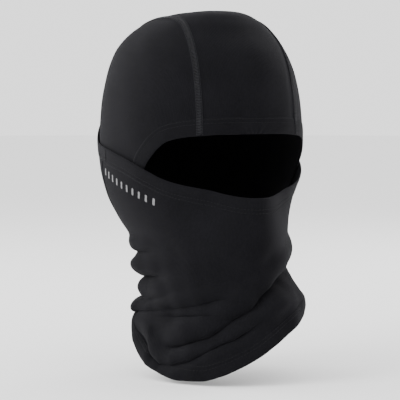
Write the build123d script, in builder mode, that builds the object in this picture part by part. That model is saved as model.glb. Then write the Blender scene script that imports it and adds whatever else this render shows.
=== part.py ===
"""Hinged balaclava in fine black knit, in the shape it takes when worn.

Origin midway between the ear canals. +Z is up, the face looks toward -Y and the wearer's right is -X.
"""
from build123d import *
from math import copysign, cos, exp, hypot, pi, sin
import os

os.makedirs("parts", exist_ok=True)

# ---- cloth and sewing ----
cloth = 1.0                  # one layer of knit
seam_build = 1.4             # flatlock seam, full height
hem_build = 1.8              # turned hem, two layers
thread = 0.4                 # how far a row of thread stands proud
row_width = 0.8              # width of one row of stitches
print_build = 0.3            # thickness of the reflective print
layer_gap = 2.5              # inside of the outer tube, measured from the skin
seam_width = 5.0
face_hem_width = 13.0
mask_hem_width = 13.0
bottom_hem_width = 12.5
body_gap = 0.3               # air between cloth that moves and cloth that stays

# ---- head, neck and shoulders: the shape that the knit is stretched over ----
# height: (half width, front depth, back depth, nose, forward shift, sideways shift)
rings = {
    -165: (74, 118, 60, 0, 0, 9),
    -130: (69, 114, 52, 0, 0, 9),
    -105: (64, 109, 45, 0, 0, 9),
    -85: (62, 104, 42, 1, 0, 9),
    -66: (56.5, 95, 39, 3, 0, 0),
    -45: (57, 95, 45, 9, 0, 0),
    -20: (65, 91, 60, 16, 0, 0),
    0: (72.5, 92, 76, 15, 0, 0),
    20: (76.5, 97, 89, 5, 0, 0),
    45: (78, 98.5, 97, 0, 0, 0),
    70: (76.5, 97, 97, 0, 0, 0),
    95: (72.5, 92, 92, 0, 0, 0),
    115: (66, 82, 84, 0, 0, 0),
    130: (56, 65, 70, 0, 3, 0),
    141: (42, 48, 54, 0, 9, 0),
    147: (25, 30, 36, 0, 18, 0),
    149: (10, 14, 16, 0, 24, 0),
}
hood_foot = -66              # lowest ring of the inner hood
tube_head = 95               # highest ring of the outer tube
fullness = 2.1               # 2 gives an ellipse, more gives fuller corners
nose_width = 15.0
dome_start = 95.0            # above this the layers also build upward
dome_top = 149.0
ring_corners = 36

# ---- cut lines ----
crown_seam = [(44, -125), (43, -85), (42, -60), (38, -20), (35, 40), (30, 100), (29, 125)]
face_edge = [(-130, 51), (-99, 51), (-85, 49.5), (-75, 48), (-65, 45), (-58, 40), (-52, 34),
             (-44, 25), (-39, 14), (-36, 0), (-34, -25), (-34, -52), (-34, -80)]
mask_edge = [(-135, -8), (-113, -2), (-104, 2), (-86, 8), (-71, 12), (-60, 16), (-49, 21), (-28, 29),
             (-13, 33), (7, 37), (30, 40), (48, 44), (75, 60), (100, 70), (125, 74)]
hood_bottom = -58.0
join_height = 6.0            # depth of the seam that joins the hood to the outer tube
mask_bottom = -66.0
hinge_line = 8.0             # the mask hem is free in front of this and sewn down behind it
side_seam_front = 24.0       # where the two side seams of the outer tube begin
hem_middle = -100.0          # bottom edge height on the axis
hem_tilt = (-0.42, -0.207, 1)  # low at the right front, high over the left shoulder

# ---- trim ----
mark_bars = 10
mark_start = (9.0, 13.3)     # rear end of the row of reflective bars, along Y and Z
mark_pitch = 6.8
mark_fall = 0.31             # how fast the row drops toward the mouth
mark_bar = (3.6, 6.6)
mark_slope = 20.0
label_size = (24.0, 0.6, 20.0)
bartack_size = 2.4


def ring(size, gap):
    """Points round one level, pushed out from the skin by gap."""
    half_width, front, back, nose, forward, sideways = size
    points = []
    for corner in range(ring_corners):
        turn = 2 * pi * corner / ring_corners
        across = copysign(abs(sin(turn)) ** (2 / fullness), sin(turn))
        along = copysign(abs(cos(turn)) ** (2 / fullness), cos(turn))
        depth = front + gap if along > 0 else back + gap
        x = (half_width + gap) * across
        bridge = nose * exp(-(x / nose_width) ** 2) if along > 0 else 0
        points.append((x + sideways, -depth * along - bridge - forward))
    return points


def refined(table):
    """The same rings with one more between each pair that stands far apart."""
    heights = sorted(table)
    fine = dict(table)
    for n in range(1, len(heights) - 2):
        low, high = heights[n], heights[n + 1]
        if high - low < 10:
            continue
        run = [table[height] for height in heights[n - 1:n + 3]]
        fine[(low + high) / 2] = tuple((9 * (b + c) - a - d) / 16 for a, b, c, d in zip(*run))
    return fine


def filled(low, high, gap):
    """Solid that fills the rings from low to high, gap outside the skin."""
    levels = sorted((height, size) for height, size in refined(rings).items() if low <= height <= high)
    with BuildPart() as form:
        for height, size in levels:
            dome = max(0, (height - dome_start) / (dome_top - dome_start)) ** 1.5
            with BuildSketch(Plane.XY.offset(height + gap * dome)):
                with BuildLine():
                    Spline(*ring(size, gap), periodic=True)
                make_face()
        loft(ruled=True)
    return form.part


def layer(skins, inside, outside):
    """Cloth between two gaps."""
    with BuildPart() as cloth_layer:
        add(skins[outside])
        add(skins[inside], mode=Mode.SUBTRACT)
    return cloth_layer.part


def crown_zone(grow):
    """Everything above and behind the centre panel, seen from above."""
    with BuildPart() as zone:
        with BuildSketch(Plane.XY.offset(-200)):
            with BuildLine():
                left = Spline(*[(x + grow, y) for x, y in crown_seam])
                right = Spline(*[(-x - grow, y) for x, y in crown_seam])
                Line(left @ 0, right @ 0)
                Line(left @ 1, right @ 1)
            make_face()
        extrude(amount=400)
    return zone.part


def shifted(points, distance):
    """The same run of points moved sideways, to the left of its direction of travel."""
    moved = []
    for n, (a, b) in enumerate(points):
        before = points[max(n - 1, 0)]
        after = points[min(n + 1, len(points) - 1)]
        along, up = after[0] - before[0], after[1] - before[1]
        length = hypot(along, up)
        moved.append((a - distance * up / length, b + distance * along / length))
    return moved


def face_zone(grow):
    """Face opening seen from the side, grown by the given amount."""
    with BuildPart() as zone:
        with BuildSketch(Plane.YZ):
            with BuildLine():
                edge = Spline(*shifted(face_edge, grow))
                Polyline(edge @ 1, (-160, -80), (-160, (edge @ 0).Y), edge @ 0)
            make_face()
        extrude(amount=120, both=True)
    return zone.part


def under_mask_edge(drop):
    """Everything lower than the top edge of the outer tube, less drop."""
    with BuildPart() as zone:
        with BuildSketch(Plane.YZ):
            with BuildLine():
                edge = Spline(*[(y, z - drop) for y, z in mask_edge])
                Polyline(edge @ 1, (125, -220), (-135, -220), edge @ 0)
            make_face()
        extrude(amount=120, both=True)
    return zone.part


def slab(low, high):
    """Level slice of space."""
    with BuildPart() as zone:
        with Locations((0, 0, (low + high) / 2)):
            Box(400, 400, high - low)
    return zone.part


def behind(start, end=200.0):
    """Slice of space between two Y positions."""
    with BuildPart() as zone:
        with Locations((0, (start + end) / 2, 0)):
            Box(400, end - start, 500)
    return zone.part


def above_hem(low, high=400.0):
    """Space between two planes that lie parallel to the bottom edge."""
    hem_plane = Plane(origin=(0, 0, hem_middle), z_dir=hem_tilt)
    with BuildPart() as zone:
        with BuildSketch(hem_plane.offset(low)):
            Rectangle(500, 500)
        extrude(amount=high - low)
    return zone.part


def cut_to(source, keep=(), remove=()):
    """The part of source inside every keep zone and outside every remove zone."""
    with BuildPart() as piece:
        add(source)
        for zone in keep:
            add(zone, mode=Mode.INTERSECT)
        for zone in remove:
            add(zone, mode=Mode.SUBTRACT)
    return piece.part


hood_gaps = (0, cloth, seam_build, hem_build, hem_build + thread, layer_gap)
tube_gaps = tuple(layer_gap + build for build in (0, cloth, cloth + print_build, seam_build, hem_build,
                                                  hem_build + thread))
hood_skins = {gap: filled(hood_foot, dome_top, gap) for gap in hood_gaps}
tube_skins = {gap: filled(-200, tube_head, gap) for gap in tube_gaps}

head_cloth = layer(hood_skins, 0, cloth)
head_seams = layer(hood_skins, 0, seam_build)
head_hems = layer(hood_skins, 0, hem_build)
head_thread = layer(hood_skins, hem_build, hem_build + thread)
tube_cloth = layer(tube_skins, layer_gap, layer_gap + cloth)
tube_seams = layer(tube_skins, layer_gap, layer_gap + seam_build)
tube_hems = layer(tube_skins, layer_gap, layer_gap + hem_build)
tube_thread = layer(tube_skins, layer_gap + hem_build, layer_gap + hem_build + thread)
tube_print = layer(tube_skins, layer_gap + cloth, layer_gap + cloth + print_build)

crown_inner = crown_zone(-seam_width / 2)
crown_outer = crown_zone(seam_width / 2)
face_open = face_zone(0)
face_sewn = face_zone(face_hem_width)
hood_height = slab(hood_bottom, 200)
tube_top = under_mask_edge(0)
tube_below_hem = under_mask_edge(mask_hem_width)

# ---- hood: centre panel over the crown, from brow to nape ----
with BuildPart() as crown_panel:
    add(cut_to(head_cloth, keep=[crown_inner, hood_height], remove=[face_sewn]))
crown_panel.part.label = "crown_panel"

# ---- hood: side panels, split down the middle ----
side_panels = cut_to(head_cloth, keep=[hood_height], remove=[crown_outer, face_sewn])
with BuildPart() as side_panel_right:
    add(side_panels)
    split(bisect_by=Plane.YZ, keep=Keep.BOTTOM)
side_panel_right.part.label = "side_panel_right"

with BuildPart() as side_panel_left:
    add(side_panels)
    split(bisect_by=Plane.YZ, keep=Keep.TOP)
side_panel_left.part.label = "side_panel_left"

# ---- hood: flatlock seams either side of the centre panel ----
crown_seams = cut_to(head_seams, keep=[crown_outer, hood_height], remove=[crown_inner, face_sewn])
with BuildPart() as crown_seam_right:
    add(crown_seams)
    split(bisect_by=Plane.YZ, keep=Keep.BOTTOM)
crown_seam_right.part.label = "crown_seam_right"

with BuildPart() as crown_seam_left:
    add(crown_seams)
    split(bisect_by=Plane.YZ, keep=Keep.TOP)
crown_seam_left.part.label = "crown_seam_left"

# ---- hood: turned hem round the face, with two rows of stitches ----
with BuildPart() as face_opening_hem:
    add(cut_to(head_hems, keep=[face_sewn, hood_height], remove=[face_open]))
face_opening_hem.part.label = "face_opening_hem"

with BuildPart() as face_stitch_inner:
    add(cut_to(head_thread, keep=[face_zone(9.0 + row_width), hood_height], remove=[face_zone(9.0)]))
face_stitch_inner.part.label = "face_stitch_inner"

with BuildPart() as face_stitch_outer:
    add(cut_to(head_thread, keep=[face_zone(12.0 + row_width), hood_height], remove=[face_zone(12.0)]))
face_stitch_outer.part.label = "face_stitch_outer"

# ---- seam that joins the foot of the hood to the outer tube, open across the throat ----
with BuildPart() as neck_join_seam:
    add(layer(hood_skins, 0, layer_gap))
    add(slab(hood_bottom - join_height, hood_bottom), mode=Mode.INTERSECT)
    add(behind(-30), mode=Mode.INTERSECT)
neck_join_seam.part.label = "neck_join_seam"

# ---- outer tube: back panel from behind the ears down to the bottom hem ----
tube_body_height = above_hem(bottom_hem_width)
with BuildPart() as back_panel:
    add(cut_to(tube_cloth, keep=[tube_below_hem, tube_body_height, behind(side_seam_front + seam_width)]))
back_panel.part.label = "back_panel"

# ---- outer tube: front of the gaiter, below the moving mask ----
front_of_seams = behind(-200, side_seam_front)
with BuildPart() as gaiter_front_panel:
    add(cut_to(tube_cloth, keep=[tube_body_height, front_of_seams,
                                 slab(-200, mask_bottom - body_gap)]))
gaiter_front_panel.part.label = "gaiter_front_panel"

# ---- outer tube: side seams ----
side_seams = cut_to(tube_seams, keep=[tube_below_hem, tube_body_height,
                                      behind(side_seam_front, side_seam_front + seam_width)])
with BuildPart() as side_seam_right:
    add(side_seams)
    split(bisect_by=Plane.YZ, keep=Keep.BOTTOM)
side_seam_right.part.label = "side_seam_right"

with BuildPart() as side_seam_left:
    add(side_seams)
    split(bisect_by=Plane.YZ, keep=Keep.TOP)
side_seam_left.part.label = "side_seam_left"

# ---- outer tube: sewn-down top hem behind the ears ----
with BuildPart() as back_top_hem:
    add(cut_to(tube_hems, keep=[tube_top, behind(hinge_line + body_gap)], remove=[tube_below_hem]))
back_top_hem.part.label = "back_top_hem"

# ---- outer tube: bottom hem and its stitches ----
with BuildPart() as bottom_hem:
    add(cut_to(tube_hems, keep=[above_hem(0, bottom_hem_width)]))
bottom_hem.part.label = "bottom_hem"

with BuildPart() as bottom_stitch_lower:
    add(cut_to(tube_thread, keep=[above_hem(7.7, 7.7 + row_width)]))
bottom_stitch_lower.part.label = "bottom_stitch_lower"

with BuildPart() as bottom_stitch_upper:
    add(cut_to(tube_thread, keep=[above_hem(10.7, 10.7 + row_width)]))
bottom_stitch_upper.part.label = "bottom_stitch_upper"

# ---- mask: the front of the outer tube, which pulls down under the chin ----
with BuildPart() as mask_panel:
    add(cut_to(tube_cloth, keep=[under_mask_edge(mask_hem_width + body_gap), slab(mask_bottom, 200),
                                 above_hem(bottom_hem_width + body_gap),
                                 behind(-200, side_seam_front - body_gap)]))
mask_panel.part.label = "mask_panel"

free_hem = behind(-200, hinge_line)
with BuildPart() as mask_top_hem:
    add(cut_to(tube_hems, keep=[tube_top, free_hem], remove=[tube_below_hem]))
mask_top_hem.part.label = "mask_top_hem"

with BuildPart() as mask_stitch_upper:
    add(cut_to(tube_thread, keep=[under_mask_edge(8.5), free_hem],
               remove=[under_mask_edge(8.5 + row_width)]))
mask_stitch_upper.part.label = "mask_stitch_upper"

with BuildPart() as mask_stitch_lower:
    add(cut_to(tube_thread, keep=[under_mask_edge(11.5), free_hem],
               remove=[under_mask_edge(11.5 + row_width)]))
mask_stitch_lower.part.label = "mask_stitch_lower"

# ---- mask: row of small reflective bars on the right cheek ----
with BuildPart() as bar_cutters:
    with BuildSketch(Plane.YZ):
        with Locations(*[(mark_start[0] - mark_pitch * n, mark_start[1] - mark_pitch * mark_fall * n)
                         for n in range(mark_bars)]):
            Rectangle(*mark_bar, rotation=mark_slope)
    extrude(amount=-120)
with BuildPart() as reflective_mark:
    add(tube_print)
    add(bar_cutters.part, mode=Mode.INTERSECT)
reflective_mark.part.label = "reflective_mark"

# ---- bar tacks where the free hem meets the sewn hem ----
tack_zone = behind(hinge_line + 1.0, hinge_line + 1.0 + bartack_size)
tack_thread = cut_to(tube_thread, keep=[tube_top, tack_zone], remove=[under_mask_edge(11.0)])
with BuildPart() as bartack_right:
    add(tack_thread)
    split(bisect_by=Plane.YZ, keep=Keep.BOTTOM)
bartack_right.part.label = "bartack_right"

with BuildPart() as bartack_left:
    add(tack_thread)
    split(bisect_by=Plane.YZ, keep=Keep.TOP)
bartack_left.part.label = "bartack_left"

# ---- blank care label, hanging from the join seam at the nape ----
with BuildPart() as care_label:
    with Locations((0, 40.2, hood_bottom - join_height - label_size[2] / 2)):
        Box(*label_size)
care_label.part.label = "care_label"

pieces = [crown_panel, side_panel_right, side_panel_left, crown_seam_right, crown_seam_left,
          face_opening_hem, face_stitch_inner, face_stitch_outer, neck_join_seam, back_panel,
          gaiter_front_panel, side_seam_right, side_seam_left, back_top_hem, bottom_hem,
          bottom_stitch_lower, bottom_stitch_upper, mask_panel, mask_top_hem, mask_stitch_upper,
          mask_stitch_lower, reflective_mark, bartack_right, bartack_left, care_label]
for piece in pieces:
    export_step(piece.part, f"parts/{piece.part.label}.step")
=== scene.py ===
"""Looks of the hinged balaclava: knit panels, flatlock seams, stitched hems and a gathered neck tube."""
import math

import bpy
import numpy as np
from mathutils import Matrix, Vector


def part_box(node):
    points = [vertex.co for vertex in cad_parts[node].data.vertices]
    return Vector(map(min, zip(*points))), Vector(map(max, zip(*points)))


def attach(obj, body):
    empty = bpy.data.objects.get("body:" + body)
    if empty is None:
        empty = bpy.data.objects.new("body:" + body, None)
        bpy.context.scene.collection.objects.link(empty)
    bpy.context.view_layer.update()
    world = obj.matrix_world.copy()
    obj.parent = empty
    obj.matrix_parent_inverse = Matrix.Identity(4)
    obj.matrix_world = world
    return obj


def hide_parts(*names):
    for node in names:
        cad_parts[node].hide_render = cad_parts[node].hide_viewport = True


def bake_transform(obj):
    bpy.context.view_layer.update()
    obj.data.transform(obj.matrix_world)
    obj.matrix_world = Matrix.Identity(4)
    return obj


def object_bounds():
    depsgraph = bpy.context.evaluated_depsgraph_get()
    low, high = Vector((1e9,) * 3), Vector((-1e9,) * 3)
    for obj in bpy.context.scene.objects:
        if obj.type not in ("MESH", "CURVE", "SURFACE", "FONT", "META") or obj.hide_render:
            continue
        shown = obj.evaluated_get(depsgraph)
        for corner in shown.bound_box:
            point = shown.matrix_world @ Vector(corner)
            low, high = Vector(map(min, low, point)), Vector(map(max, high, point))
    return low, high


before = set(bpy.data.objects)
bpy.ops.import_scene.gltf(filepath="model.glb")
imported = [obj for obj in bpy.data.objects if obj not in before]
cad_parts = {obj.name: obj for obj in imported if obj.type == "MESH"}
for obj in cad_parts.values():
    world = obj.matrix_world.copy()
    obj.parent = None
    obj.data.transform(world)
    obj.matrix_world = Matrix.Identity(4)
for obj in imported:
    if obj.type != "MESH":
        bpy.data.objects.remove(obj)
CAD_BOX = [list(corner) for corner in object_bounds()]
MM = 0.001

# ---- the shape that the knit is stretched over, in millimetres ----
# height, half width, front depth, back depth, nose, forward shift, sideways shift
RINGS = np.array([
    (-165, 74, 118, 60, 0, 0, 9),
    (-130, 69, 114, 52, 0, 0, 9),
    (-105, 64, 109, 45, 0, 0, 9),
    (-85, 62, 104, 42, 1, 0, 9),
    (-66, 56.5, 95, 39, 3, 0, 0),
    (-45, 57, 95, 45, 9, 0, 0),
    (-20, 65, 91, 60, 16, 0, 0),
    (0, 72.5, 92, 76, 15, 0, 0),
    (20, 76.5, 97, 89, 5, 0, 0),
    (45, 78, 98.5, 97, 0, 0, 0),
    (70, 76.5, 97, 97, 0, 0, 0),
    (95, 72.5, 92, 92, 0, 0, 0),
    (115, 66, 82, 84, 0, 0, 0),
    (130, 56, 65, 70, 0, 3, 0),
    (141, 42, 48, 54, 0, 9, 0),
    (147, 25, 30, 36, 0, 18, 0),
    (149.5, 0.01, 0.01, 0.01, 0, 25, 0),
], float)
FULLNESS = 2.1                           # 2 gives an ellipse, more gives fuller corners
NOSE_SHARE = 0.9                         # how much of the nose the stretched cloth follows
NOSE_WIDTH = ([-30, 10], [30.0, 20.0])   # heights, and the width of the nose there
CENTRE = np.array([0.0, -5.0, 45.0])
# Cut lines: the crown seam as distance from the middle and Y, the other two as Y and Z.
CROWN_SEAM = np.array([(44, -125), (43, -85), (42, -60), (38, -20), (35, 40), (30, 100), (29, 125)], float)
FACE_EDGE = np.array([(-130, 51), (-99, 51), (-85, 49.5), (-75, 48), (-65, 45), (-58, 40), (-52, 34),
                      (-44, 25), (-39, 14), (-36, 0), (-34, -25), (-34, -52), (-34, -80)], float)
MASK_EDGE = np.array([(-135, 0), (-113, 0.6), (-104, 1.2), (-95, 3.6), (-86, 7.6), (-71, 12), (-60, 16),
                      (-49, 21), (-28, 29), (-13, 33), (7, 37), (30, 40), (48, 44), (75, 60), (100, 70),
                      (125, 74)], float)
HOOD_BOTTOM = -58.0
SIDE_SEAM_Y = 26.5
TUBE_GAP = 2.5                           # inside of the outer tube, measured from the skin
CLOTH = 1.0
NECK_AXIS = np.array([5.0, -26.0, 0.0])
STITCH_RADIUS = 0.2


def steady_curve(xs, ys, x):
    """Smooth curve through points that never overshoots them."""
    h = np.diff(xs)
    d = np.diff(ys) / h
    m = np.zeros(len(xs))
    for i in range(1, len(xs) - 1):
        if d[i - 1] * d[i] > 0:
            w1, w2 = 2 * h[i] + h[i - 1], h[i] + 2 * h[i - 1]
            m[i] = (w1 + w2) / (w1 / d[i - 1] + w2 / d[i])
    m[0], m[-1] = d[0], d[-1]
    k = np.clip(np.searchsorted(xs, x) - 1, 0, len(xs) - 2)
    t = (x - xs[k]) / h[k]
    a, b = ys[k], ys[k + 1]
    return ((2 * t ** 3 - 3 * t ** 2 + 1) * a + (t ** 3 - 2 * t ** 2 + t) * h[k] * m[k]
            + (-2 * t ** 3 + 3 * t ** 2) * b + (t ** 3 - t ** 2) * h[k] * m[k + 1])


FINE_Z = np.linspace(RINGS[0, 0], RINGS[-1, 0], 6000)
FINE = np.empty((6, len(FINE_Z)))
for column in range(6):
    values = RINGS[:, column + 1]
    if column < 3:
        FINE[column] = np.sqrt(np.maximum(steady_curve(RINGS[:, 0], values ** 2, FINE_Z), 0))
    else:
        FINE[column] = steady_curve(RINGS[:, 0], values, FINE_Z)


def ring_at(z):
    return [np.interp(z, FINE_Z, row) for row in FINE]


def bridge_at(x, z, nose):
    """How far the nose lifts the cloth."""
    return NOSE_SHARE * nose * np.exp(-(x / np.interp(z, *NOSE_WIDTH)) ** 2)


def ring_point(theta, z, gap=0.0):
    """Point of the level outline: theta 0 is the front, positive toward the wearer's left."""
    a, f, b, nose, forward, sideways = ring_at(z)
    s, c = np.sin(theta), np.cos(theta)
    across = np.sign(s) * np.abs(s) ** (2 / FULLNESS)
    along = np.sign(c) * np.abs(c) ** (2 / FULLNESS)
    depth = np.where(c > 0, f, b) + gap
    x = (a + gap) * across
    bridge = np.where(c > 0, bridge_at(x, z, nose), 0)
    return np.stack([x + sideways, -depth * along - bridge - forward, np.broadcast_to(z, x.shape) * 1.0], -1)


def inside(p):
    """Whether points lie inside the head form."""
    z = p[..., 2]
    a, f, b, nose, forward, sideways = ring_at(np.clip(z, FINE_Z[0], FINE_Z[-1]))
    x = p[..., 0] - sideways
    y = p[..., 1] + forward
    depth = np.where(y < 0, f, b)
    y = np.where(y < 0, np.minimum(y + bridge_at(x, z, nose), 0), y)
    full = np.abs(x / np.maximum(a, 0.01)) ** FULLNESS + np.abs(y / np.maximum(depth, 0.01)) ** FULLNESS
    return (full < 1) & (z < FINE_Z[-1])


def cast(direction):
    """Where rays from the middle of the head meet the skin."""
    direction = direction / np.linalg.norm(direction, axis=-1, keepdims=True)
    low = np.full(direction.shape[:-1], 10.0)
    high = np.full(direction.shape[:-1], 190.0)
    for _ in range(22):
        middle = (low + high) / 2
        hit = inside(CENTRE + direction * middle[..., None])
        low = np.where(hit, middle, low)
        high = np.where(hit, high, middle)
    return CENTRE + direction * low[..., None]


def head_normal(p):
    """Outward normal of the head form, from rays close by."""
    direction = p - CENTRE
    direction = direction / np.linalg.norm(direction, axis=-1, keepdims=True)
    helper = np.where(np.abs(direction[..., 2:3]) < 0.8, np.array([0, 0, 1.0]), np.array([1.0, 0, 0]))
    t1 = np.cross(direction, helper)
    t1 /= np.linalg.norm(t1, axis=-1, keepdims=True)
    t2 = np.cross(direction, t1)
    step = 0.03
    du = cast(direction + t1 * step) - cast(direction - t1 * step)
    dv = cast(direction + t2 * step) - cast(direction - t2 * step)
    n = np.cross(du, dv)
    n /= np.linalg.norm(n, axis=-1, keepdims=True)
    flip = np.sum(n * direction, -1, keepdims=True) < 0
    return np.where(flip, -n, n)


# ---- cut lines, and distances from them ----
def dense(points, count=400):
    """A smooth line through a few points."""
    places = np.linspace(0, len(points) - 1, count)
    return np.stack([catmull_rom(points[:, k], places) for k in range(2)], -1)


def catmull_rom(ys, x):
    """Catmull-Rom curve through evenly numbered points."""
    k = np.clip(np.floor(x).astype(int), 0, len(ys) - 2)
    t = x - k
    p0 = ys[np.maximum(k - 1, 0)]
    p1, p2 = ys[k], ys[k + 1]
    p3 = ys[np.minimum(k + 2, len(ys) - 1)]
    return 0.5 * (2 * p1 + (p2 - p0) * t + (2 * p0 - 5 * p1 + 4 * p2 - p3) * t ** 2
                  + (3 * p1 - p0 - 3 * p2 + p3) * t ** 3)


FACE_LINE = dense(FACE_EDGE)
MASK_LINE = dense(MASK_EDGE)
SEAM_LINE = dense(CROWN_SEAM)


def seam_half_width(y):
    return np.interp(y, SEAM_LINE[:, 1], SEAM_LINE[:, 0])


def seam_shift(y):
    """The hood sits a little turned on the head, so both seams lean toward the wearer's left."""
    return 0.2 + 4.9 * np.exp(-((y + 50) / 32) ** 2)


def face_field(p):
    """Side-view distance to the face opening's edge, positive on the cloth."""
    q = p[..., 1:3]
    flat = q.reshape(-1, 2)
    out = np.empty(len(flat))
    chunk = 4000
    a, b = FACE_LINE[:-1], FACE_LINE[1:]
    ab = b - a
    length2 = np.sum(ab ** 2, -1)
    for start in range(0, len(flat), chunk):
        part = flat[start:start + chunk, None, :]
        t = np.clip(np.sum((part - a) * ab, -1) / length2, 0, 1)
        diff = part - (a + ab * t[..., None])
        dist = np.linalg.norm(diff, axis=-1)
        k = np.argmin(dist, 1)
        rows = np.arange(len(k))
        side = ab[k, 0] * diff[rows, k, 1] - ab[k, 1] * diff[rows, k, 0]
        out[start:start + chunk] = dist[rows, k] * np.sign(side)
    return out.reshape(q.shape[:-1])


# ---- mesh helpers ----
def new_object(name, vertices, faces, smooth=True, knit=None):
    mesh = bpy.data.meshes.new(name)
    mesh.from_pydata((np.asarray(vertices) * MM).tolist(), [], faces)
    mesh.validate()
    if smooth:
        mesh.shade_smooth()
    if knit is not None and len(mesh.vertices) == len(knit):
        layer = mesh.attributes.new("knit", "FLOAT_VECTOR", "POINT")
        layer.data.foreach_set("vector", np.asarray(knit, np.float32).ravel())
    piece = bpy.data.objects.new(name, mesh)
    bpy.context.scene.collection.objects.link(piece)
    return piece


def sewn(name):
    """Name of the piece that stands for a CAD node."""
    return name + "_sewn"


def cube_sphere(n):
    """Unit directions on a cube's six faces, welded, with quads."""
    t = np.tan(np.linspace(-math.pi / 4, math.pi / 4, n + 1))
    u, v = np.meshgrid(t, t, indexing="ij")
    one = np.ones_like(u)
    sides = [(one, u, v), (-one, -u, v), (-u, one, v), (u, -one, v), (-v, u, one), (v, u, -one)]
    points, quads = [], []
    for side in sides:
        base = sum(len(x) for x in points)
        points.append(np.stack(side, -1).reshape(-1, 3))
        i, j = np.meshgrid(np.arange(n), np.arange(n), indexing="ij")
        k = base + i * (n + 1) + j
        quads.append(np.stack([k, k + n + 1, k + n + 2, k + 1], -1).reshape(-1, 4))
    points, quads = np.concatenate(points), np.concatenate(quads)
    points /= np.linalg.norm(points, axis=1, keepdims=True)
    _, first, back = np.unique(np.round(points, 6), axis=0, return_index=True, return_inverse=True)
    return points[first], back.ravel()[quads]


def clip(points, faces, values):
    """Keeps the part of a mesh where values are positive. points holds any per-vertex numbers."""
    points = [tuple(p) for p in points]
    values = list(values)
    keep = []
    cache = {}

    def crossing(i, j):
        key = (min(i, j), max(i, j))
        if key not in cache:
            t = values[i] / (values[i] - values[j])
            points.append(tuple(a + (b - a) * t for a, b in zip(points[i], points[j])))
            values.append(0.0)
            cache[key] = len(points) - 1
        return cache[key]

    for face in faces:
        above = [values[i] > 0 for i in face]
        if all(above):
            keep.append(tuple(face))
        elif any(above):
            cut = []
            for n, i in enumerate(face):
                j = face[(n + 1) % len(face)]
                if values[i] > 0:
                    cut.append(i)
                if (values[i] > 0) != (values[j] > 0):
                    cut.append(crossing(i, j))
            if len(cut) > 2:
                keep.append(tuple(cut))
    used = sorted({i for face in keep for i in face})
    renumber = {old: new for new, old in enumerate(used)}
    return np.array([points[i] for i in used]), [tuple(renumber[i] for i in face) for face in keep]


def shell(name, base, normals, faces, inner, outer, knit):
    """Closed skin of cloth between two offsets from a surface."""
    count = len(base)
    outer = np.broadcast_to(outer, count)[:, None]
    inner = np.broadcast_to(inner, count)[:, None]
    vertices = np.concatenate([base + normals * outer, base + normals * inner])
    edges = {}
    for face in faces:
        for n, i in enumerate(face):
            edges[(i, face[(n + 1) % len(face)])] = True
    walls = [(j, i, i + count, j + count) for i, j in edges if (j, i) not in edges]
    back = [tuple(i + count for i in reversed(face)) for face in faces]
    return new_object(name, vertices, list(faces) + back + walls, knit=np.concatenate([knit, knit]))


def lengths_along(points):
    """Distance of each point from the first, along their line."""
    return np.concatenate([[0], np.cumsum(np.linalg.norm(np.diff(points, axis=0), axis=-1))])


def strip(name, centres, normals, sections, closed=False):
    """Solid band over stations x cross positions on a surface; sections are its outer and inner heights."""
    stations, across = centres.shape[:2]
    outer, inner = sections
    top = centres + normals * np.broadcast_to(outer, (stations, across))[..., None]
    bottom = centres + normals * np.broadcast_to(inner, (stations, across))[..., None]
    loop = np.concatenate([top, bottom[:, ::-1]], 1)
    ring = loop.shape[1]
    faces = []
    last = stations if closed else stations - 1
    for i in range(last):
        a, b = i * ring, ((i + 1) % stations) * ring
        faces += [(a + k, a + (k + 1) % ring, b + (k + 1) % ring, b + k) for k in range(ring)]
    if not closed:
        faces.append(tuple(range(ring - 1, -1, -1)))
        faces.append(tuple((stations - 1) * ring + k for k in range(ring)))
    along = lengths_along(centres[:, across // 2])
    width = lengths_along(centres[0])
    uv = np.zeros((stations, ring, 3))
    uv[..., 0] = along[:, None]
    uv[..., 1] = np.concatenate([width, width[::-1]])[None]
    return new_object(name, loop.reshape(-1, 3), faces, knit=uv.reshape(-1, 3))


def thread(name, runs, radius=STITCH_RADIUS, sides=6):
    """Short rounded lengths of thread; each run is a small array of points."""
    vertices, faces = [], []
    for run in runs:
        run = np.asarray(run)
        tangents = np.gradient(run, axis=0)
        tangents /= np.linalg.norm(tangents, axis=1, keepdims=True) + 1e-9
        helper = np.array([0.3, 0.2, 1.0])
        side = np.cross(tangents, helper)
        side /= np.linalg.norm(side, axis=1, keepdims=True) + 1e-9
        up = np.cross(side, tangents)
        base = len(vertices)
        count = len(run)
        for k in range(count):
            size = radius * (0.55 if k in (0, count - 1) else 1.0)
            for m in range(sides):
                angle = 2 * math.pi * m / sides
                vertices.append(run[k] + (side[k] * math.cos(angle) + up[k] * math.sin(angle)) * size)
        for k in range(count - 1):
            for m in range(sides):
                a, b = base + k * sides + m, base + k * sides + (m + 1) % sides
                faces.append((a, b, b + sides, a + sides))
        faces.append(tuple(base + m for m in range(sides - 1, -1, -1)))
        faces.append(tuple(base + (count - 1) * sides + m for m in range(sides)))
    return new_object(name, vertices, faces)


def resample(points, step):
    """Points at an even step along a line, with the fractional index of each."""
    lengths = lengths_along(points)
    wanted = np.arange(0, lengths[-1], step)
    index = np.interp(wanted, lengths, np.arange(len(points)))
    return np.stack([np.interp(wanted, lengths, points[:, k]) for k in range(points.shape[1])], -1), index


def dashes(line, normals, height, length=2.3, gap=0.7):
    """A row of lockstitches along a line: little arcs that dip at both ends."""
    step = 0.25
    fine, index = resample(line, step)
    up = np.stack([np.interp(index, np.arange(len(normals)), normals[:, k]) for k in range(3)], -1)
    per, skip = int(length / step), int(gap / step)
    dip = np.array([-0.28, 0.02, 0.1, 0.02, -0.28])
    runs = []
    for start in range(0, len(fine) - per, per + skip):
        pick = np.linspace(start, start + per, len(dip)).astype(int)
        runs.append(fine[pick] + up[pick] * (height + dip)[:, None])
    return runs


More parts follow.
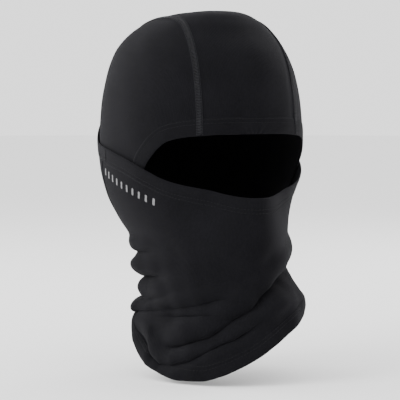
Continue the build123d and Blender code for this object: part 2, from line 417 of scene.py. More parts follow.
def wobble(p, size, seed):
    """Soft unevenness of hand-pulled cloth, a few millimetres long."""
    q = p / size
    return (np.sin(q[..., 0] * 1.7 + q[..., 1] * 0.9 + seed) * np.sin(q[..., 2] * 1.3 + seed * 2.1)
            + 0.6 * np.sin(q[..., 1] * 2.3 - q[..., 2] * 1.1 + seed * 0.7) * np.sin(q[..., 0] * 2.9 + seed))


def bump(x, middle, width):
    return np.exp(-((x - middle) / width) ** 2)


# Hollows that the cloth is drawn into: azimuth and its spread, then the depth, height and spread of each.
HOLLOWS = [
    (-112, 46, [(10.5, -72, 15), (4.6, -42, 17), (1.5, -100, 12)]),
    (66, 40, [(5.0, -5, 26), (6.0, -58, 13), (6.5, -96, 20), (-1.5, -43, 7)]),
]


def waist(p):
    """How far cloth at p is drawn in toward the neck, deepest in the hollows under the jaw."""
    azimuth = np.degrees(np.arctan2(p[..., 0], -p[..., 1] - 5))
    drawn = np.zeros(azimuth.shape)
    for middle, spread, hollows in HOLLOWS:
        for depth, height, reach in hollows:
            drawn += depth * bump(azimuth, middle, spread) * bump(p[..., 2], height, reach)
    return drawn


def level_out(p, axis):
    """Level direction away from an upright axis."""
    out = p - axis
    out[..., 2] = 0
    return out / np.linalg.norm(out, axis=-1, keepdims=True)


def drawn_in(p):
    return p - level_out(p, NECK_AXIS) * waist(p)[..., None]


# ---- materials ----
def principled(name, **settings):
    """A material whose main shader has its sockets set, and the node tree and shader."""
    material = bpy.data.materials.new(name)
    material.use_nodes = True
    tree = material.node_tree
    shader = tree.nodes["Principled BSDF"]
    for words, value in settings.items():
        shader.inputs[words.replace("_", " ")].default_value = value
    return material, tree, shader


def noise(tree, scale, detail):
    where = tree.nodes.new("ShaderNodeTexCoord")
    node = tree.nodes.new("ShaderNodeTexNoise")
    node.inputs["Scale"].default_value = scale
    node.inputs["Detail"].default_value = detail
    tree.links.new(where.outputs["Object"], node.inputs["Vector"])
    return node.outputs[0]


def colour_between(tree, shader, amount, dark, light, low, high):
    """Base colour from dark to light as amount goes from low to high."""
    ramp = tree.nodes.new("ShaderNodeValToRGB")
    for element, place, colour in zip(ramp.color_ramp.elements, (low, high), (dark, light)):
        element.position = place
        element.color = (*colour, 1)
    tree.links.new(amount, ramp.inputs[0])
    tree.links.new(ramp.outputs[0], shader.inputs["Base Color"])


def relief(tree, shader, height, strength, depth):
    node = tree.nodes.new("ShaderNodeBump")
    node.inputs["Strength"].default_value = strength
    node.inputs["Distance"].default_value = depth
    tree.links.new(height, node.inputs["Height"])
    tree.links.new(node.outputs[0], shader.inputs["Normal"])


def knit_material(name, dark, light, wale=1.15, course=0.95):
    """Fine jersey: columns of small V stitches, flecked yarn and a soft nap."""
    material, tree, shader = principled(name, Roughness=0.9, Sheen_Weight=0.03, Sheen_Roughness=0.45,
                                        Sheen_Tint=(0.75, 0.74, 0.82, 1), Specular_IOR_Level=0.05)
    place = tree.nodes.new("ShaderNodeAttribute")
    place.attribute_name = "knit"
    split = tree.nodes.new("ShaderNodeSeparateXYZ")
    tree.links.new(place.outputs["Vector"], split.inputs[0])

    def compute(kind, *values):
        node = tree.nodes.new("ShaderNodeMath")
        node.operation = kind
        for k, value in enumerate(values):
            if isinstance(value, (int, float)):
                node.inputs[k].default_value = value
            else:
                tree.links.new(value, node.inputs[k])
        return node.outputs[0]

    def share(value, factor):
        return compute("MULTIPLY", value, factor)

    column = share(split.outputs[0], 2 * math.pi / wale)
    lean = share(compute("ABSOLUTE", compute("SINE", share(column, 0.5))), 1.9)
    row = compute("ADD", share(split.outputs[1], 2 * math.pi / course), lean)
    height = compute("ADD", share(compute("SINE", column), 0.6), share(compute("SINE", row), 0.4))
    fleck = noise(tree, 900.0, 3.0)
    cloud = noise(tree, 38.0, 4.0)
    mix = compute("ADD", compute("ADD", share(fleck, 0.75), share(cloud, 0.45)), share(height, 0.16))
    colour_between(tree, shader, mix, dark, light, 0.32, 0.92)
    relief(tree, shader, compute("ADD", height, share(fleck, 0.9)), 0.55, 0.00022)
    return material


def thread_material(name, dark, light, rough=0.75, sheen=0.0):
    material, tree, shader = principled(name, Roughness=rough, Sheen_Weight=sheen, Specular_IOR_Level=0.1)
    fibre = noise(tree, 1600.0, 2.0)
    colour_between(tree, shader, fibre, dark, light, 0.3, 0.75)
    relief(tree, shader, fibre, 0.4, 0.0001)
    return material


KNIT = knit_material("knit_black", (0.0024, 0.0024, 0.003), (0.0072, 0.007, 0.0086))
KNIT_HEM = knit_material("knit_black_hem", (0.0025, 0.0025, 0.0031), (0.0075, 0.0073, 0.0089))
SEAM_THREAD = thread_material("seam_thread", (0.010, 0.010, 0.012), (0.034, 0.034, 0.040), sheen=0.05)
HEM_THREAD = thread_material("hem_thread", (0.0036, 0.0036, 0.0044), (0.0115, 0.0115, 0.0135), sheen=0.03)
PRINT = thread_material("reflective_print", (0.13, 0.13, 0.135), (0.2, 0.2, 0.205), rough=0.5)
LABEL = thread_material("label_satin", (0.35, 0.35, 0.34), (0.5, 0.5, 0.49), rough=0.5)


def dress(piece, material, nodes):
    piece.data.materials.append(material)
    if nodes:
        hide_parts(*nodes)


def on_hood(piece, material, slot, *nodes):
    """The piece stays with the hood and stands for the CAD nodes."""
    dress(piece, material, nodes)
    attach(piece, "hood")


def on_mask(piece, material, slot, *nodes):
    """The piece stands for the CAD nodes and has its transform baked into its mesh."""
    dress(piece, material, nodes)
    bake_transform(piece)


# ---- hood panels ----
PANEL_EDGE = 0.5             # gap between a panel and the middle of its seam
PANEL_FROM_OPENING = 11.0    # the turned hem covers the rest

directions, quads = cube_sphere(96)
skin = cast(directions)
skin_normals = head_normal(skin)


def panel_patch(fields):
    """The part of the skin where every field is positive."""
    points = np.concatenate([skin, skin_normals], 1)
    faces = [tuple(q) for q in quads.tolist()]
    for field in fields:
        points, faces = clip(points, faces, field(points[:, :3]))
    n = points[:, 3:]
    return points[:, :3], n / np.linalg.norm(n, axis=1, keepdims=True), faces


def crown_field(p):
    """Distance sideways from the nearer crown seam, positive on the side panels."""
    return np.abs(p[:, 0] - seam_shift(p[:, 1])) - seam_half_width(p[:, 1])


def hood_panel(name, fields, knit_of, seed):
    """One panel of the hood, uneven like worn cloth and a little sunk beside its seams."""
    covered = [lambda p: face_field(p) - PANEL_FROM_OPENING, lambda p: p[:, 2] - HOOD_BOTTOM]
    p, n, faces = panel_patch(fields[:1] + covered + fields[1:])
    beside_seam = bump(np.abs(crown_field(p)), 4.5, 2.2)
    lift = 0.25 * wobble(p, 16.0, seed) - 0.3 * beside_seam
    piece = shell(sewn(name), drawn_in(p), n, faces, 0.05 + lift * 0.8, CLOTH + lift, knit_of(p))
    on_hood(piece, KNIT, "knit", name)
    return piece


def crown_knit(p):
    around = np.arctan2(p[:, 2] - CENTRE[2], -(p[:, 1] - CENTRE[1])) * 95
    return np.stack([p[:, 0], around, p[:, 0] * 0], 1)


def side_knit(p):
    return np.stack([p[:, 1], p[:, 2], p[:, 0] * 0], 1)


crown_panel = hood_panel("crown_panel", [lambda p: -crown_field(p) - PANEL_EDGE], crown_knit, 1.0)
side_panel_right, side_panel_left = (
    hood_panel(f"side_panel_{side}",
               [lambda p: crown_field(p) - PANEL_EDGE, lambda p, sign=sign: sign * p[:, 0] + 0.001],
               side_knit, 3.0 * sign)
    for side, sign in (("right", -1), ("left", 1)))


# ---- flatlock seams either side of the centre panel ----
SEAM_ACROSS = np.array([-3.0, -2.6, -2.0, -1.3, -0.6, 0, 0.6, 1.3, 2.0, 2.6, 3.0])
SEAM_TOP = np.array([0.8, 1.2, 1.5, 1.42, 1.34, 1.2, 1.34, 1.42, 1.5, 1.2, 0.8])
SEAM_MIDDLE = 5
ZIGZAG_SIDES = (8, 2)
SEAM_ROWS = (1, 9)
ZIGZAG_STEP = 0.62
THREAD_PIECE = 40            # points in one modelled length of zigzag
ZIGZAG_TOP = 1.55            # height of the thread at the sides of the seam
ZIGZAG_MIDDLE = 1.42         # and where it crosses the middle
SEAM_ROW_TOP = 1.38
HEM_STEP = 0.45              # how far a seam climbs where it runs over the hem
SEAM_DASH = {"length": 1.6, "gap": 0.5}


def seam_lines(sign, start=177.5, end=-68.0, count=800):
    """The seam line and its neighbours over the head, from the brow to the nape."""
    phi = np.radians(np.linspace(start, end, count))
    aim = np.stack([np.zeros(count), np.cos(phi), np.sin(phi)], -1)
    origin = np.array([0, CENTRE[1], CENTRE[2]])

    def at(reach, shift):
        p = origin + aim * reach[:, None]
        p[:, 0] = seam_shift(p[:, 1]) + sign * (seam_half_width(p[:, 1]) + shift)
        return p

    def solve(shift):
        low, high = np.full(count, 5.0), np.full(count, 190.0)
        for _ in range(24):
            middle = (low + high) / 2
            hit = inside(at(middle, shift))
            low, high = np.where(hit, middle, low), np.where(hit, high, middle)
        return at(low, shift)

    middle = solve(np.zeros(count))
    normal = head_normal(middle)
    stretch = np.sqrt(np.clip(1 - normal[:, 0] ** 2, 0.2, 1))
    lines = np.stack([solve(offset * stretch) for offset in SEAM_ACROSS], 1)
    keep = (face_field(middle) > 0.5) & (middle[:, 2] > HOOD_BOTTOM)
    return drawn_in(lines[keep]), normal[keep]


def even_stations(lines, normals, step):
    """Every cross line of a strip at an even step along its middle."""
    middle = lines[:, lines.shape[1] // 2]
    _, index = resample(middle, step)
    low = np.floor(index).astype(int)
    high = np.minimum(low + 1, len(lines) - 1)
    t = (index - low)[:, None]
    return (lines[low] * (1 - t[..., None]) + lines[high] * t[..., None],
            normals[low] * (1 - t) + normals[high] * t)


def over_hem(lines):
    """1 where the middle of a seam runs over the face hem, 0 past it."""
    return np.clip((15.0 - face_field(lines[:, SEAM_MIDDLE])) / 3.0, 0, 1)


def zigzag(lines, normals):
    """Thread that crosses the seam from side to side, in short lengths."""
    rise = HEM_STEP * over_hem(lines)
    path = []
    for k in range(len(lines)):
        path.append(lines[k, ZIGZAG_SIDES[k % 2]] + normals[k] * (ZIGZAG_TOP + rise[k]))
        if k % 2 == 0 and k:
            path.append(lines[k, SEAM_MIDDLE] + normals[k] * (ZIGZAG_MIDDLE + rise[k]))
    return [np.array(path[k:k + THREAD_PIECE + 1]) for k in range(0, len(path) - 1, THREAD_PIECE)]


for side, sign in (("right", -1), ("left", 1)):
    lines, normals = even_stations(*seam_lines(sign), 1.0)
    on_top = over_hem(lines)[:, None]
    under = 0.3 + 0.5 * on_top + np.zeros((1, len(SEAM_ACROSS)))
    band = strip(sewn(f"crown_seam_{side}"), lines, np.repeat(normals[:, None], len(SEAM_ACROSS), 1),
                 (SEAM_TOP[None] + HEM_STEP * on_top, under))
    on_hood(band, KNIT_HEM, "knit", f"crown_seam_{side}")
    runs = zigzag(*even_stations(lines, normals, ZIGZAG_STEP))
    for row in SEAM_ROWS:
        runs += dashes(lines[:, row] + normals * HEM_STEP * on_top, normals, SEAM_ROW_TOP, **SEAM_DASH)
    on_hood(thread(f"crown_seam_thread_{side}", runs), SEAM_THREAD, "seam_thread")


# ---- turned hem round the face opening ----
# Section of every turned hem: place across it from the edge, height of its outside and of its inside.
HEM_ACROSS = np.array([0.0, 0.5, 1.4, 3.0, 5.0, 7.2, 8.6, 9.4, 10.2, 11.2, 12.0, 12.5, 13.1, 13.8])
HEM_TOP = np.array([0.9, 1.4, 1.62, 1.7, 1.68, 1.62, 1.52, 1.36, 1.5, 1.5, 1.38, 1.26, 1.16, 0.9])
HEM_UNDER = np.array([0.9, 0.35, 0.1] + [0.05] * 11)
HEM_ROWS = (7, 11)           # the two grooves where its stitches lie


def face_lines(values, limit=149.0, count=700):
    """Lines at given distances from the opening's edge, from the right foot over the brow to the left."""
    alpha = np.radians(np.linspace(-limit, limit, count))

    def at(beta):
        return cast(np.stack([np.sin(beta) * np.sin(alpha), -np.cos(beta), np.sin(beta) * np.cos(alpha)], -1))

    def solve(value):
        low, high = np.full(count, 0.02), np.full(count, 2.6)
        for _ in range(20):
            beta = (low + high) / 2
            out = face_field(at(beta)) > value
            low, high = np.where(out, low, beta), np.where(out, beta, high)
        return at((low + high) / 2)

    return np.stack([solve(value) for value in values], 1)


def hem_stitches(names, lines, normals, carry):
    """Twin rows of stitches on a hem."""
    for name, row in zip(names, HEM_ROWS):
        stitches = thread(sewn(name), dashes(lines[:, row], normals[:, row], HEM_TOP[row] + 0.1))
        carry(stitches, HEM_THREAD, "hem_thread", name)


lines = face_lines(HEM_ACROSS, count=700)
hem_normals = head_normal(lines)
lines = drawn_in(lines)
ripple = 0.22 * np.sin(np.arange(len(lines)) * 0.11)[:, None] * bump(HEM_ACROSS, 3, 4.0)[None]
face_hem = strip(sewn("face_opening_hem"), lines, hem_normals,
                 (HEM_TOP[None] + ripple, HEM_UNDER[None] + ripple * 0.5))
on_hood(face_hem, KNIT_HEM, "knit", "face_opening_hem")
hem_stitches(("face_stitch_inner", "face_stitch_outer"), lines, hem_normals, on_hood)


# ---- outer tube: one closed grid from the top edge to the bottom edge ----
FULL_COLUMNS = 440
COLUMNS = FULL_COLUMNS
ROWS = 190
FRONT_COLUMNS = int(COLUMNS * 0.66)
turn_at = np.linspace(FINE_Z[0], FINE_Z[-1], 800)
guess = np.linspace(math.pi / 2, math.pi, 400)
ys = ring_point(guess[None, :], turn_at[:, None], 0.0)[..., 1]
seam_turn = np.array([np.interp(SIDE_SEAM_Y, row, guess) for row in ys])


def column_turn(k, z):
    """Azimuth of column k: -1 and 1 are the side seams, and the back runs on from 1 to 3."""
    edge = np.interp(z, turn_at, seam_turn)
    return np.where(k <= 1, k * edge, edge + (k - 1) / 2 * (2 * math.pi - 2 * edge))


# Bottom edge round the neck: azimuth and height. Low over the right breast, high over the left shoulder.
HEM_EDGE = np.array([(-180, -93), (-150, -98), (-120, -105), (-102, -112), (-92, -119), (-84, -129),
                     (-74, -138.5), (-64, -143.5), (-55, -146), (-43, -145.5), (-32, -141), (-21, -134),
                     (-8, -124.5), (6, -112.5), (30, -98), (60, -86), (90, -80), (120, -81), (150, -87),
                     (180, -93)], float)


def degrees_of(turn):
    """Azimuth in degrees, from -180 to 180."""
    return (np.degrees(turn) + 180) % 360 - 180


def top_height(y):
    return np.interp(y, MASK_LINE[:, 0], MASK_LINE[:, 1])


def hem_height(turn):
    return steady_curve(HEM_EDGE[:, 0], HEM_EDGE[:, 1], degrees_of(turn))


def fade_in(x, start, softness):
    """From 0 to 1 as x passes start."""
    return 1 / (1 + np.exp(-(x - start) / softness))


ks = np.concatenate([np.linspace(-1, 1, FRONT_COLUMNS, endpoint=False),
                     np.linspace(1, 3, COLUMNS - FRONT_COLUMNS, endpoint=False)])
z_top = np.full(COLUMNS, 20.0)
z_low = np.full(COLUMNS, -110.0)
for _ in range(60):
    z_top = 0.5 * z_top + 0.5 * top_height(ring_point(column_turn(ks, z_top), z_top, TUBE_GAP)[:, 1])
    z_low = 0.6 * z_low + 0.4 * hem_height(column_turn(ks, z_low))
grid_z = z_top[:, None] + (z_low - z_top)[:, None] * np.linspace(0, 1, ROWS)[None]
grid_turn = column_turn(np.broadcast_to(ks[:, None], grid_z.shape), grid_z)
behind_ear = fade_in(ring_point(grid_turn, grid_z, 0)[..., 1], 12, 5)
snug = TUBE_GAP - 0.9 * bump(z_top[:, None] - grid_z, 0, 16) * behind_ear
grid = drawn_in(ring_point(grid_turn, grid_z, snug))


def grid_normals(g):
    across = np.roll(g, -1, 0) - np.roll(g, 1, 0)
    down = np.gradient(g, axis=1)
    n = np.cross(down, across)
    n /= np.linalg.norm(n, axis=-1, keepdims=True) + 1e-9
    return np.where(np.sum(n * level_out(g, NECK_AXIS), -1).mean() < 0, -n, n)


# Creases as (azimuth in degrees, height), with how deep and how wide each is, and where it fades in and out.
FLAP = [(60, -50), (28, -61), (16, -67), (0, -77), (-11, -85), (-21, -92), (-32, -101), (-40, -108),
        (-51, -114), (-62, -120), (-75, -124)]
CREASES = [
    ([(-100, -97), (-88, -94), (-72, -91), (-57, -88), (-44, -85), (-33, -81), (-20, -79)],
     5.0, 3.2, (-125, -24, 22)),
    ([(-80, -99), (-68, -97), (-54, -95), (-41, -93), (-29, -90), (-18, -85), (-1, -79)],
     4.4, 3.0, (-74, -6, 14)),
    (FLAP, 12.0, 5.0, (-64, 75, 7)),
    ([(-90, -112), (-77, -122), (-74, -129), (-68, -134), (-60, -133), (-50, -128), (-41, -121), (-32, -114),
      (-24, -109), (-11, -99), (5, -90)], 9.0, 4.2, (-84, -12, 10)),
    ([(-150, -72), (-110, -67), (-85, -66), (-70, -65), (-55, -62)], 6.0, 3.6, (-160, -74, 12)),
    ([(-150, -50), (-110, -47), (-85, -46), (-70, -44)], 4.0, 3.6, (-160, -80, 10)),
    ([(-150, -84), (-110, -86), (-85, -86), (-70, -82), (-60, -79)], 5.0, 3.2, (-160, -72, 14)),
]
# Across a crease, in its widths: share of its depth, middle and width of the lips beside it and of the droop.
LIPS = ((0.42, 2.1, 1.5), (0.30, -2.3, 1.6))
DROOP = (0.55, 1.1, 1.1)
# Soft rolls on the right of the neck: height at the outline, slope in mm per degree, how far out, how thick.
ROLLS = [(-41, 0.05, 2.6, 4.6), (-58, 0.03, 3.4, 3.4), (-76, 0.06, 2.6, 4.2), (-92, 0.07, 3.2, 3.8)]
FOLD_AXIS = np.array([7.0, -26.0, 0.0])


def line_height(points, degrees):
    """Height of a crease at each azimuth."""
    azimuths, heights = np.array(sorted(points)).T
    return np.interp(degrees, azimuths, heights)


def fold(g, turn, z):
    """Moves the grid into its folds: each crease is a valley under a drooping lip."""
    degrees = degrees_of(turn)
    push = np.zeros(z.shape)
    drop = np.zeros(z.shape)
    for points, depth, width, (start, end, fade) in CREASES:
        softness = fade * 0.35
        reach = fade_in(degrees, start, softness) * fade_in(-degrees, -end, softness) * depth
        d = (z - line_height(points, degrees)) / width
        push -= reach * 0.75 * np.exp(-np.abs(d) ** 1.7)
        for share, middle, spread in LIPS:
            push += reach * share * bump(d, middle, spread)
        drop -= reach * DROOP[0] * bump(d, *DROOP[1:])
    for height, slope, out_by, thick in ROLLS:
        reach = fade_in(degrees, -175, 8) * fade_in(-degrees, 78, 7) * out_by
        d = (z - height - slope * (degrees + 110)) / thick
        push += reach * np.exp(-np.abs(d) ** 2.4)
        drop -= reach * 0.35 * bump(d, -0.4, 0.8)
    push = np.where(z > -60, np.maximum(push, -1.2), push)
    below_flap = fade_in(-z, 4 - line_height(FLAP, degrees), 3.0)
    push += below_flap * bump(degrees, 40, 42) * 4.0
    moved = g + level_out(g, FOLD_AXIS) * push[..., None]
    moved[..., 2] += drop
    return moved


grid = fold(grid, grid_turn, grid_z)
low_down = np.clip((-30 - grid_z) / 30, 0, 1)
unevenness = 0.12 * wobble(grid, 14.0, 5.0) + low_down * 0.7 * wobble(grid, 11.0, 8.0)
grid += grid_normals(grid) * unevenness[..., None]
normals = grid_normals(grid)
fall = np.stack([lengths_along(column) for column in grid])
girth = np.arange(COLUMNS) * 1.22 * FULL_COLUMNS / COLUMNS


def down_column(c, distances):
    """Grid points and normals at distances along the cloth from the top edge, for one column."""
    return (np.stack([np.interp(distances, fall[c], grid[c, :, k]) for k in range(3)], -1),
            np.stack([np.interp(distances, fall[c], normals[c, :, k]) for k in range(3)], -1))


def unit(ups):
    return ups / np.linalg.norm(ups, axis=-1, keepdims=True)


def at_fall(distances, from_top=True):
    """Grid points and normals at distances along the cloth from its top or bottom edge, for every column."""
    distances = np.asarray(distances)
    found = [down_column(c, distances if from_top else fall[c, -1] - distances) for c in range(COLUMNS)]
    return np.stack([points for points, _ in found]), unit(np.stack([ups for _, ups in found]))


TUBE_TRIM = 11.5             # from the edge of the tube to the edge of its panels, under the hems


def tube_panel(name, columns):
    """Cloth between the two hems over a run of columns."""
    rows = 1 + int(ROWS * 0.985)
    points, ups, knits = [], [], []
    for c in columns:
        span = np.linspace(TUBE_TRIM, fall[c, -1] - TUBE_TRIM + 1.5, rows)
        column_points, column_ups = down_column(c, span)
        points.append(column_points)
        ups.append(unit(column_ups))
        knits.append(np.stack([np.full(rows, girth[c]), span, np.zeros(rows)], -1))
    faces = [(a * rows + b, a * rows + b + 1, (a + 1) * rows + b + 1, (a + 1) * rows + b)
             for a in range(len(points) - 1) for b in range(rows - 1)]
    p, n, knit = (np.concatenate(x) for x in (points, ups, knits))
    return shell(name, p, n, faces, 0.0, CLOTH, knit)


front_run = list(range(FRONT_COLUMNS + 1))
back_run = [c % COLUMNS for c in range(FRONT_COLUMNS, COLUMNS + 1)]
front_cloth = tube_panel("mask_and_gaiter_front", front_run)
on_mask(front_cloth, KNIT, "knit", "mask_panel", "gaiter_front_panel")
back_cloth = tube_panel(sewn("back_panel"), back_run)
on_hood(back_cloth, KNIT, "knit", "back_panel")


# ---- hems of the outer tube ----
def tube_hem(name, columns, carry, stitches=(), from_top=True, closed=False):
    lines, ups = at_fall(HEM_ACROSS, from_top)
    lines, ups = lines[columns], ups[columns]
    hem = strip(sewn(name), lines, ups, (HEM_TOP[None], HEM_UNDER[None]), closed=closed)
    carry(hem, KNIT_HEM, "knit", name)
    hem_stitches(stitches, lines, ups, carry)


tube_hem("mask_top_hem", front_run, on_mask, ("mask_stitch_upper", "mask_stitch_lower"))
tube_hem("back_top_hem", back_run, on_hood)
tube_hem("bottom_hem", list(range(COLUMNS)), on_hood, ("bottom_stitch_lower", "bottom_stitch_upper"),
         from_top=False, closed=True)


# ---- side seams of the outer tube ----
BAND_ACROSS = np.array([-2.6, -2.1, -1.2, 0, 1.2, 2.1, 2.6])
BAND_TOP = np.array([0.8, 1.35, 1.5, 1.3, 1.5, 1.35, 0.8])
BAND_ROWS = (1, 5)
BAND_ROW_TOP = 1.45
COLUMN_WIDTH = 1.25 * FULL_COLUMNS / COLUMNS


def side_seam(side, column, count=120):
    """Flatlock band down one side, between the hems."""
    span = np.linspace(TUBE_TRIM, fall[column % COLUMNS, -1] - TUBE_TRIM, count)
    lines, ups = [], []
    for offset in BAND_ACROSS:
        place = column + offset / COLUMN_WIDTH
        low = math.floor(place)
        t = place - low
        (p, n), (q, m) = (down_column(c % COLUMNS, span) for c in (low, low + 1))
        lines.append(p * (1 - t) + q * t)
        ups.append(n * (1 - t) + m * t)
    lines, ups = np.stack(lines, 1), np.stack(ups, 1)
    name = f"side_seam_{side}"
    band = strip(sewn(name), lines, ups, (BAND_TOP[None], np.full((1, len(BAND_TOP)), 0.3)))
    on_hood(band, KNIT_HEM, "knit", name)
    runs = []
    for row in BAND_ROWS:
        runs += dashes(lines[:, row], ups[:, row], BAND_ROW_TOP, **SEAM_DASH)
    on_hood(thread(f"side_seam_thread_{side}", runs), SEAM_THREAD, "seam_thread")


side_seam("right", 0)
side_seam("left", FRONT_COLUMNS)


# ---- seam between the hood's foot and the outer tube ----
JOIN_LEVELS = np.array([-64.0, -62.5, -61.0, -59.5, -58.0])
JOIN_TOP = np.array([1.6, 2.2, 2.3, 2.2, 1.2])
JOIN_AXIS = np.array([0, -28.0, 0])
turns = np.radians(np.linspace(68, 292, 160))
join = np.stack([ring_point(turns, np.full(len(turns), z), 0.0) for z in JOIN_LEVELS], 1)
join_seam = strip(sewn("neck_join_seam"), drawn_in(join), level_out(join, JOIN_AXIS),
                  (JOIN_TOP[None], np.full((1, len(JOIN_TOP)), 0.1)))
on_hood(join_seam, KNIT_HEM, "seam_thread", "neck_join_seam")


# ---- small reflective bars on the right cheek ----
BARS = 10
BAR_SIZE = (2.0, 5.9)
BAR_START = (15.0, 18.0)     # the rear bar, along Y and Z
BAR_PITCH = 7.1
BAR_FALL = 0.335             # how fast the row drops toward the mouth
BAR_SLOPE = math.radians(20.0)
BAR_GRID = (5, 8)
BAR_BUILD = (0.32, 0.05)     # outside and inside of the print, above the cloth


def cheek_point(y, z, gap):
    """Point on the right side of the outer tube with the given Y and Z."""
    count, reach = 900, 6
    turns = np.linspace(-math.pi + 0.05, -0.02, count)
    line = ring_point(turns, np.full(count, z), TUBE_GAP)
    k = np.argmin(np.abs(line[:, 1] - y) + np.where(line[:, 0] > 0, 1e3, 0))
    beside = (min(k + reach, count - 1), max(k - reach, 0))
    ahead, behind = (ring_point(turns[j], z, TUBE_GAP) for j in beside)
    above, below = (ring_point(turns[k], z + step, TUBE_GAP) for step in (2.0, -2.0))
    n = np.cross(ahead - behind, above - below)
    n /= np.linalg.norm(n)
    return line[k] + (-n if n[0] > 0 else n) * gap


def grid_quads(base, across, along, flip=False):
    """Faces over a grid of points whose first index is base."""
    faces = []
    for i in range(across - 1):
        for j in range(along - 1):
            a = base + i * along + j
            quad = (a, a + along, a + along + 1, a + 1)
            faces.append(quad[::-1] if flip else quad)
    return faces


def bar(number, base):
    """Points and faces of one bar, a little rounded at its ends."""
    centre_y = BAR_START[0] - BAR_PITCH * number
    centre_z = BAR_START[1] - BAR_PITCH * BAR_FALL * number
    cos, sin = math.cos(BAR_SLOPE), math.sin(BAR_SLOPE)
    across, along = BAR_GRID
    points = []
    for build in BAR_BUILD:
        for u in np.linspace(-0.5, 0.5, across):
            for v in np.linspace(-0.5, 0.5, along):
                dy = u * BAR_SIZE[0] * (1 - 0.10 * (abs(v) * 2) ** 6)
                dz = v * BAR_SIZE[1] * (1 - 0.05 * (abs(u) * 2) ** 6)
                y, z = centre_y + dy * cos - dz * sin, centre_z + dy * sin + dz * cos
                points.append(cheek_point(y, z, CLOTH + build))
    size = across * along
    faces = grid_quads(base, across, along) + grid_quads(base + size, across, along, flip=True)
    rim = ([i * along for i in range(across)] + [(across - 1) * along + j for j in range(1, along)]
           + [i * along + along - 1 for i in range(across - 2, -1, -1)] + list(range(along - 2, 0, -1)))
    for a, b in zip(rim, rim[1:] + rim[:1]):
        faces.append((base + a, base + a + size, base + b + size, base + b))
    return points, faces


vertices, faces = [], []
for number in range(BARS):
    bar_points, bar_faces = bar(number, len(vertices))
    vertices += bar_points
    faces += bar_faces
mark = new_object(sewn("reflective_mark"), vertices, faces, smooth=False)
on_mask(mark, PRINT, "reflective_print", "reflective_mark")


# ---- bar tacks, where the free hem meets the hem that is sewn down ----
TACK_Y = 10.2
TACK_ACROSS_HEM = np.linspace(1.0, 11.0, 9)


def bartack(name, column):
    lines, ups = at_fall(TACK_ACROSS_HEM)
    heights = ((-1, 2.0), (0, 2.3), (1, 2.0))
    runs = [np.array([lines[(column + step) % COLUMNS, k] + ups[(column + step) % COLUMNS, k] * height
                      for step, height in heights]) for k in range(len(TACK_ACROSS_HEM))]
    on_hood(thread(sewn(name), runs, radius=0.3), HEM_THREAD, "hem_thread", name)


for side, sign in (("right", -1), ("left", 1)):
    on_side = np.sign(grid[:, 0, 0]) == sign
    bartack(f"bartack_{side}", int(np.argmin(np.where(on_side, np.abs(grid[:, 0, 1] - TACK_Y), 1e6))))


# ---- blank care label at the nape ----
LABEL_FORWARD = 5.5          # set forward of the CAD place, clear of the nape's cloth
LABEL_BUILD = 0.35
LABEL_GRID = (13, 11)
low, high = (np.array(corner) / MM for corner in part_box("care_label"))
label_points = []
for build in (0.0, LABEL_BUILD):
    for u in np.linspace(0, 1, LABEL_GRID[0]):
        for v in np.linspace(0, 1, LABEL_GRID[1]):
            bow = 0.5 * math.sin(math.pi * u) + 0.25 * math.sin(2 * math.pi * (1 - v))
            label_points.append((low[0] + u * (high[0] - low[0]),
                                 low[1] - LABEL_FORWARD + build + bow * (1 - v) * 0.4,
                                 low[2] + v * (high[2] - low[2])))
label_faces = grid_quads(0, *LABEL_GRID) + grid_quads(len(label_points) // 2, *LABEL_GRID, flip=True)
label = new_object(sewn("care_label"), label_points, label_faces)
on_hood(label, LABEL, "label", "care_label")


# ---- floor, lights and camera ----
FLOOR_RADIUS = 6000
FLOOR_CORNERS = 96
WHITE = (0.905, 0.905, 0.905, 1)

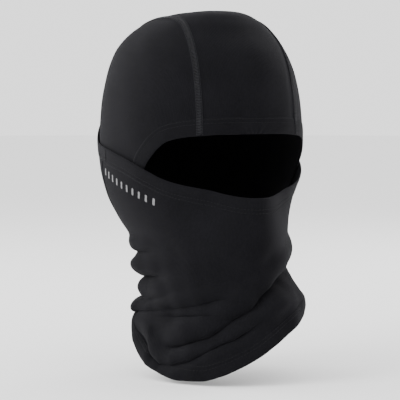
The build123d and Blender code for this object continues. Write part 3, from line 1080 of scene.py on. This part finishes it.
floor_height = min(CAD_BOX[0][2], grid[..., 2].min() * MM) - 0.003
floor_turns = [2 * math.pi * k / FLOOR_CORNERS for k in range(FLOOR_CORNERS)]
floor = new_object("floor", [(FLOOR_RADIUS * math.cos(turn), FLOOR_RADIUS * math.sin(turn), floor_height / MM)
                             for turn in floor_turns], [tuple(range(FLOOR_CORNERS))], smooth=False)
floor_white, _, _ = principled("floor_white", Base_Color=(0.9, 0.9, 0.9, 1), Roughness=0.9,
                               Specular_IOR_Level=0.1)
floor.data.materials.append(floor_white)

world = bpy.data.worlds.new("studio")
world.use_nodes = True
background = world.node_tree.nodes["Background"]
background.inputs["Color"].default_value = WHITE
background.inputs["Strength"].default_value = 2.0
bpy.context.scene.world = world


def direction_of(azimuth, elevation):
    """Unit vector; azimuth 0 is in front of the face and positive toward the wearer's left."""
    a, e = math.radians(azimuth), math.radians(elevation)
    return np.array([math.sin(a) * math.cos(e), -math.cos(a) * math.cos(e), math.sin(e)])


def area_light(name, azimuth, elevation, distance, power, size, aim=(0, 0, 0.02)):
    light = bpy.data.lights.new(name, "AREA")
    light.energy = power
    light.size = size
    lamp = bpy.data.objects.new(name, light)
    lamp.location = tuple(distance * direction_of(azimuth, elevation))
    away = np.array(aim) - np.array(lamp.location)
    lamp.rotation_euler = Vector(away).to_track_quat("-Z", "Y").to_euler()
    bpy.context.scene.collection.objects.link(lamp)


area_light("key", -80, 30, 1.7, 22, 0.9)
area_light("rim_left", -150, 20, 1.6, 12, 0.8)
area_light("rim_right", 110, 22, 1.6, 12, 0.8)

CAMERA_AZIMUTH, CAMERA_ELEVATION, CAMERA_DISTANCE = -26.0, 3.5, 1.9
CAMERA_DROP = 0.0067
toward = direction_of(CAMERA_AZIMUTH, CAMERA_ELEVATION)
level = direction_of(CAMERA_AZIMUTH + 90, 0)
target = np.cross(toward, level) * -CAMERA_DROP
camera = bpy.data.objects.new("camera", bpy.data.cameras.new("camera"))
camera.data.lens = 205.0
camera.data.sensor_width = 36.0
camera.data.dof.use_dof = False
camera.location = tuple(target + toward * CAMERA_DISTANCE)
camera.rotation_euler = Vector(tuple(toward)).to_track_quat("Z", "Y").to_euler()
bpy.context.scene.collection.objects.link(camera)
bpy.context.scene.camera = camera
